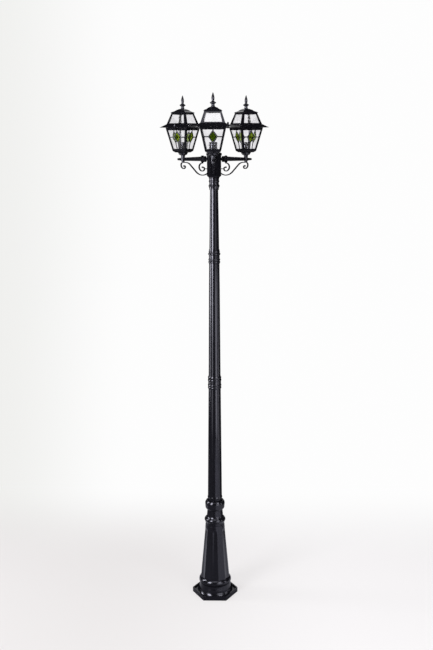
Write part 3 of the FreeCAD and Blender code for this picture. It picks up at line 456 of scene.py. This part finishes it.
def is_outer_end(face):
    """True for a round end that faces away from the post."""
    centre = face.calc_center_median()
    outwards = Vector((centre.x, centre.y, 0.0)).normalized()
    return len(face.verts) >= ROUND_END_CORNERS and face.normal.dot(outwards) > FACING_OUT


def put_on_hexagon(verts, centre, normal, half_across):
    """Moves a ring of points onto a hexagon about its centre."""
    first = normal.orthogonal().normalized()
    second = normal.cross(first)
    for vert in verts:
        arm = vert.co - centre
        angle = math.atan2(arm.dot(second), arm.dot(first))
        from_flat = (angle % HEXAGON_SIDE) - HEXAGON_SIDE / 2.0
        reach = half_across / math.cos(from_flat)
        vert.co = centre + (first * math.cos(angle) + second * math.sin(angle)) * reach


def add_socket_screws(node, rim, half_across, depth):
    """Screws with a hexagon socket sunk into each outer end."""
    bm = welded_copy(node)
    ends = [face for face in bm.faces if is_outer_end(face)]
    bmesh.ops.inset_individual(bm, faces=ends, thickness=rim)
    for face in ends:
        put_on_hexagon(face.verts, face.calc_center_median(), face.normal.copy(), half_across)
    bmesh.ops.inset_individual(bm, faces=ends, thickness=SOCKET_DRAFT, depth=-depth)
    replace_node(node, "_socketed", bm, BLACK_STEEL)


# Lampholder insides

THREAD_PITCH = 3.62 * MM
THREAD_TURNS = 5
THREAD_FOOT = 2534.2 * MM
THREAD_MEAN_RADIUS = 13.62 * MM
THREAD_SWING = 0.16 * MM
THREAD_SHEET = 0.3 * MM
THREAD_STEPS_UP = 12
THREAD_STEPS_ROUND = 48

# Radius and height of each point in mm: a round post with the contact's button on top of it.
CONTACT_POINTS = ((0.0, 2522.6), (4.2, 2522.6), (4.5, 2522.9), (4.5, 2530.6), (4.1, 2531.0),
                  (2.9, 2531.0), (2.9, 2532.4), (2.3, 2533.1), (1.2, 2533.4), (0.0, 2533.5))
CONTACT_STEPS = 48


def rolled_thread():
    """A thin sleeve rolled into a round thread. Its sheet meets itself one pitch higher each turn."""
    points = []
    for step in range(THREAD_STEPS_UP * (THREAD_TURNS - 1) + 1):
        wave = THREAD_SWING * math.cos(FULL_TURN * step / THREAD_STEPS_UP)
        height = THREAD_FOOT + THREAD_PITCH * step / THREAD_STEPS_UP
        points.append((THREAD_MEAN_RADIUS + wave, height))
    bm = bmesh.new()
    spin_outline(bm, points, THREAD_STEPS_ROUND, dvec=UP * (THREAD_PITCH / THREAD_STEPS_ROUND))
    bmesh.ops.solidify(bm, geom=bm.faces, thickness=THREAD_SHEET)
    bmesh.ops.recalc_face_normals(bm, faces=bm.faces)
    return bm


def add_lamp_contacts(side):
    bm = rolled_thread()
    points = [(radius * MM, height * MM) for radius, height in CONTACT_POINTS]
    add_part(bm, turned(points, CONTACT_STEPS), Matrix.Identity(4))
    move(bm, on_arm(side))
    replace_node(side + "_lamp_contacts", "_rolled", bm, BRASS)


# Solder on the lead lines

SOLDER_RADIUS = 2.9 * MM
SOLDER_HEIGHT = 0.55 * MM
SOLDER_SUNK = 0.1 * MM
SOLDER_STEPS = 20
SOLDER_DOME_STEPS = 5

# The foot and the top of a lantern's face in mm, each as half the body's width and the height.
BODY_FOOT = (40.5, 2512.0)
BODY_TOP = (66.0, 2630.0)
FACE_LEAN = math.atan2(BODY_TOP[0] - BODY_FOOT[0], BODY_TOP[1] - BODY_FOOT[1])
FACE_OUT = Vector((math.cos(FACE_LEAN), 0.0, -math.sin(FACE_LEAN)))
FACE_UP = Vector((math.sin(FACE_LEAN), 0.0, math.cos(FACE_LEAN)))
FACE_ASIDE = Vector((0.0, 1.0, 0.0))


def solder_dome():
    points = [(0.0, -SOLDER_SUNK), (SOLDER_RADIUS, -SOLDER_SUNK)]
    points += dome_points(SOLDER_RADIUS, 0.0, SOLDER_HEIGHT, SOLDER_DOME_STEPS)
    return turned(points, SOLDER_STEPS)


def points_at_home(side, part):
    """The points of one lantern's node, brought back to the Z axis with the arm along +X."""
    home = on_arm(side).inverted()
    return [home @ vert.co for vert in frame["nodes"][side + part].data.vertices]


def add_solder(side):
    """A flat dome of solder where the lead lines meet each corner of a diamond, on all four faces."""
    green = points_at_home(side, "_green_diamonds")
    outer_plane = max(point.dot(FACE_OUT) for point in points_at_home(side, "_lead_cames"))
    bm = bmesh.new()
    for quarter in range(4):
        turn = turn_z(90.0 * quarter)
        back = turn.inverted()
        here = [back @ point for point in green]
        here = [point for point in here if point.x > abs(point.y) + SOLDER_RADIUS]
        for direction in (FACE_UP, -FACE_UP, FACE_ASIDE, -FACE_ASIDE):
            corner = max(here, key=direction.dot)
            corner = corner + FACE_OUT * (outer_plane - corner.dot(FACE_OUT))
            lie = Matrix.Translation(corner) @ FACE_OUT.to_track_quat("Z", "Y").to_matrix().to_4x4()
            add_part(bm, solder_dome(), turn @ lie)
    move(bm, on_arm(side))
    add_piece(side + "_solder_joints", bm, LEAD, body_of_node(side + "_lead_cames"))


# Post and lanterns

POST_EASE = 0.8 * MM
TUBE_EASE = 0.5 * MM
LANTERN_EASE = 0.5 * MM
NUT_EASE = 0.7 * MM


def dress_post():
    for node in ("base_casting", "base_collar", "lower_coupling", "upper_coupling", "head_socket"):
        softened_piece(node, CAST_PAINT, POST_EASE)
    for node in ("lower_pole", "middle_pole", "upper_pole"):
        softened_piece(node, TUBE_PAINT, TUBE_EASE)
    for node in ("hub", "hub_cap"):
        softened_piece(node, CAST_PAINT, POST_EASE)
    for node in ("lower_joiner", "upper_joiner", "hinge_pins", "lantern_stems"):
        finish_node(node, ZINC)
    softened_piece("stem_nuts", BLACK_STEEL, NUT_EASE)
    add_socket_screws("post_grub_screws", rim=0.9 * MM, half_across=1.25 * MM, depth=1.6 * MM)
    add_socket_screws("arm_screws", rim=1.0 * MM, half_across=1.5 * MM, depth=1.3 * MM)


def dress_lantern(side):
    for part in ("arm", "cup", "body_frame", "roof_frame", "roof_cap", "bracket", "finial"):
        softened_piece(side + "_" + part, CAST_PAINT, LANTERN_EASE)
    add_thumb_screw(side)
    add_lamp_contacts(side)
    add_solder(side)
    for part, material in (("body_panes", CLEAR_GLASS), ("roof_panes", CLEAR_GLASS),
                           ("green_diamonds", GREEN_GLASS), ("lead_cames", LEAD),
                           ("lampholder", DARK_PORCELAIN)):
        finish_node(side + "_" + part, material)


# Camera

FOCAL_PX = 904.9
FRAME_HEIGHT_PX = 650.0
SENSOR = 36.0
CAMERA_PLACE = Vector((0.1118, -4.8487, 2.5456))
CAMERA_DOWN_DEG = 11.306
CAMERA_TURN_DEG = 1.19
CAMERA_ROLL_DEG = -0.13
CAMERA_SIGHT = 100.0


def set_camera():
    data = bpy.data.cameras.new("camera")
    data.sensor_fit = "AUTO"
    data.sensor_width = SENSOR
    data.lens = FOCAL_PX * SENSOR / FRAME_HEIGHT_PX
    data.clip_end = CAMERA_SIGHT
    camera = bpy.data.objects.new("camera", data)
    camera.location = CAMERA_PLACE
    down = Matrix.Rotation(math.radians(90.0 - CAMERA_DOWN_DEG), 4, "X")
    camera.rotation_euler = (turn_z(CAMERA_TURN_DEG) @ down @ turn_z(CAMERA_ROLL_DEG)).to_euler()
    bpy.context.scene.collection.objects.link(camera)
    bpy.context.scene.camera = camera


# Floor and air. A pair of numbers is a run: its start and its end, in metres on the floor and as a
# part of the direction in the air.

WHITE = (0.985, 0.985, 0.985)
SHADED_WHITE = (0.87, 0.87, 0.855)
LEFT_SHADE = (0.10, 0.27)
CAMERA_BACK = 4.85

FLOOR_HALF_SIZE = 12.0
FLOOR_WHITE = (0.60, 0.592, 0.588)
FLOOR_ROUGHNESS = 0.9
GLOW_SHARE = 0.70
# Painted shade: the floor's glow runs from darker on the left of the view to lighter on the right.
SHADED_GLOW_LEFT = (0.79, 0.765, 0.755)
GLOW_RIGHT = (0.985, 0.965, 0.97)
GLOW_SHADE_RUN = (-0.8, 0.8)
FLOOR_FADE = (0.30, 1.60)
FLOOR_END = (1.60, 3.20)
FLOOR_SHADE = (-0.6, 0.8)

# Painted reflections: the floor as the post's gloss sees it is paler near the foot than far off. It
# has a pale patch to the right of the foot and behind it, so that the foot's gloss shows light.
GLOSS_NEAR = (0.11, 0.11, 0.125)
GLOSS_FAR = (0.05, 0.05, 0.055)
GLOSS_PAINTED_PALE = (0.50, 0.50, 0.54)
PAINTED_PALE_RIGHT = (0.05, 0.35)
PAINTED_PALE_BEHIND = (-0.10, 0.25)
NEAR_END = (0.80, 1.40)
PAINTED_PALE_END = (2.40, 3.20)

AIR_LIGHT = (0.62, 0.62, 0.635)
ROOM_DARK = (0.022, 0.022, 0.027)
SHEET_WHITE = (1.0, 1.0, 1.0)
SHEET_SIDE = (0.84, 0.92)
SHEET_TOP = (0.70, 0.85)
AIR_SHADE = (0.55, 0.85)


def seen_directly(tree):
    """1 for what the camera sees, plainly or through glass, and 0 for reflections and light."""
    rays = tree.nodes.new("ShaderNodeLightPath").outputs
    return combined(tree, "MAXIMUM", rays["Is Camera Ray"], rays["Is Transmission Ray"])


def white_behind(tree, aside, ahead, ahead_run):
    """The white behind the post, a little greyer towards the left of the view."""
    leftwards = combined(tree, "MULTIPLY", aside, -1.0)
    shaded = combined(tree, "MULTIPLY", smooth_step(tree, leftwards, *LEFT_SHADE),
                      smooth_step(tree, ahead, *ahead_run))
    return colour_between(tree, shaded, WHITE, SHADED_WHITE)


def floor_in_view(tree, surface, axes, reach):
    """The floor that is looked at: white, with the post's shadow, with painted shade that darkens its
    glow towards the left, and running into the white behind it. The camera's distance turns a place
    on the floor into a direction."""
    glow = colour_between(tree, smooth_step(tree, axes["X"], *GLOW_SHADE_RUN), SHADED_GLOW_LEFT, GLOW_RIGHT)
    lit = shader_between(tree, GLOW_SHARE, surface, glowing(tree, glow))
    aside = combined(tree, "DIVIDE", axes["X"], combined(tree, "ADD", axes["Y"], CAMERA_BACK))
    white = white_behind(tree, aside, axes["Y"], FLOOR_SHADE)
    faded = combined(tree, "MAXIMUM", smooth_step(tree, axes["Y"], *FLOOR_FADE),
                     smooth_step(tree, reach, *FLOOR_END))
    return shader_between(tree, faded, lit, glowing(tree, white))


def floor_in_gloss(tree, axes, reach):
    """The floor that the post's gloss shows: dark, with painted reflections: a pale patch beside and
    behind the foot, and paler near the foot than far off.
    """
    right = smooth_step(tree, axes["X"], *PAINTED_PALE_RIGHT)
    behind = smooth_step(tree, axes["Y"], *PAINTED_PALE_BEHIND)
    past_near = smooth_step(tree, reach, *NEAR_END)
    past_pale = smooth_step(tree, reach, *PAINTED_PALE_END)
    beside = combined(tree, "SUBTRACT", combined(tree, "SUBTRACT", right, behind), past_pale)
    at_foot = combined(tree, "SUBTRACT", combined(tree, "MAXIMUM", right, behind), past_near)
    # The painted reflection's pale patch.
    painted_pale = combined(tree, "MAXIMUM", combined(tree, "MAXIMUM", beside, at_foot), 0.0)
    ground = colour_between(tree, past_near, GLOSS_NEAR, GLOSS_FAR)
    diffuse = tree.nodes.new("ShaderNodeBsdfDiffuse")
    feed(tree, diffuse, {"Color": colour_between(tree, painted_pale, ground, GLOSS_PAINTED_PALE)})
    return diffuse.outputs["BSDF"]


def floor_material():
    """Shows one floor to the camera and another to the gloss of the post."""
    material, tree, shader = blank_material("studio floor")
    feed(tree, shader, {"Base Color": FLOOR_WHITE, "Roughness": FLOOR_ROUGHNESS,
                        "Specular IOR Level": 0.0})
    place = tree.nodes.new("ShaderNodeTexCoord").outputs["Object"]
    axes = axes_of(tree, place)
    distance = tree.nodes.new("ShaderNodeVectorMath")
    distance.operation = "LENGTH"
    feed(tree, distance, {0: place})
    reach = distance.outputs["Value"]
    both = shader_between(tree, seen_directly(tree), floor_in_gloss(tree, axes, reach),
                          floor_in_view(tree, shader.outputs["BSDF"], axes, reach))
    feed(tree, tree.nodes["Material Output"], {"Surface": both})
    return material


def add_floor():
    bm = bmesh.new()
    bmesh.ops.create_grid(bm, x_segments=1, y_segments=1, size=FLOOR_HALF_SIZE)
    mesh = bpy.data.meshes.new("studio_floor")
    bm.to_mesh(mesh)
    bm.free()
    mesh.materials.append(floor_material())
    floor = bpy.data.objects.new("studio_floor", mesh)
    bpy.context.scene.collection.objects.link(floor)


def set_world():
    """White air where it is seen and even soft light on the post. Its gloss shows the white sheet
    behind it and, around that, a dark room."""
    world = bpy.data.worlds.new("studio")
    bpy.context.scene.world = world
    world.use_nodes = True
    tree = world.node_tree
    axes = axes_of(tree, tree.nodes.new("ShaderNodeTexCoord").outputs["Generated"])
    behind = smooth_step(tree, axes["Y"], *SHEET_SIDE)
    above = smooth_step(tree, axes["Z"], *SHEET_TOP)
    sheet = combined(tree, "MAXIMUM", combined(tree, "SUBTRACT", behind, above), 0.0)
    room = colour_between(tree, sheet, ROOM_DARK, SHEET_WHITE)
    is_gloss = tree.nodes.new("ShaderNodeLightPath").outputs["Is Glossy Ray"]
    unseen = colour_between(tree, is_gloss, AIR_LIGHT, room)
    white = white_behind(tree, axes["X"], axes["Y"], AIR_SHADE)
    air = colour_between(tree, seen_directly(tree), unseen, white)
    feed(tree, tree.nodes["Background"], {"Color": air})


# Lights

LIGHT_COLOUR = (0.97, 0.965, 1.0)

# Each light: direction, distance and width, then its levels as foot, top and watts per square metre.
LIGHTS = (
    ("left_softbox", -41.0, 3.2, 1.15,
     ((0.0, 0.45, 4.0), (0.45, 0.95, 9.0), (0.95, 1.45, 24.0), (1.45, 3.1, 50.0), (3.1, 4.2, 30.0))),
    ("left_side_light", -95.0, 2.6, 0.55, ((0.5, 1.15, 18.0), (1.15, 2.9, 42.0))),
    ("right_softbox", 35.0, 2.6, 1.55, ((0.15, 1.5, 9.5), (1.5, 2.2, 2.5))),
    ("right_high_softbox", 40.0, 2.8, 1.3, ((2.5, 3.5, 26.0),)),
    ("right_side_light", 79.0, 2.4, 0.50, ((0.1, 1.6, 7.0),)),
)
HIGH_LIGHT = {"place": (-0.15, -2.35, 5.1), "aim": (0.0, -0.2, 2.65),
              "width": 2.4, "height": 1.9, "watts": 26.0}


def around_post(azimuth_deg, distance, height):
    """A point by its direction from the post: 0 is towards the camera, positive to the right."""
    angle = math.radians(azimuth_deg)
    return (distance * math.sin(angle), -distance * math.cos(angle), height)


def softbox(name, place, aim, width, height, watts):
    data = bpy.data.lights.new(name, "AREA")
    data.shape = "RECTANGLE"
    data.size = width
    data.size_y = height
    data.energy = watts
    data.color = LIGHT_COLOUR
    lamp = bpy.data.objects.new(name, data)
    lamp.location = place
    lamp.rotation_euler = (Vector(aim) - Vector(place)).to_track_quat("-Z", "Y").to_euler()
    bpy.context.scene.collection.objects.link(lamp)


def add_lights():
    for name, azimuth, distance, width, levels in LIGHTS:
        for level, (foot, top, strength) in enumerate(levels):
            middle = (foot + top) / 2.0
            softbox("%s_%d" % (name, level), around_post(azimuth, distance, middle),
                    (0.0, 0.0, middle), width, top - foot, strength * width * (top - foot))
    softbox("high_front_softbox", **HIGH_LIGHT)


dress_post()
for side in ARM_DEG:
    dress_lantern(side)
set_world()
add_floor()
add_lights()
set_camera()
bpy.context.scene.view_settings.view_transform = "Standard"
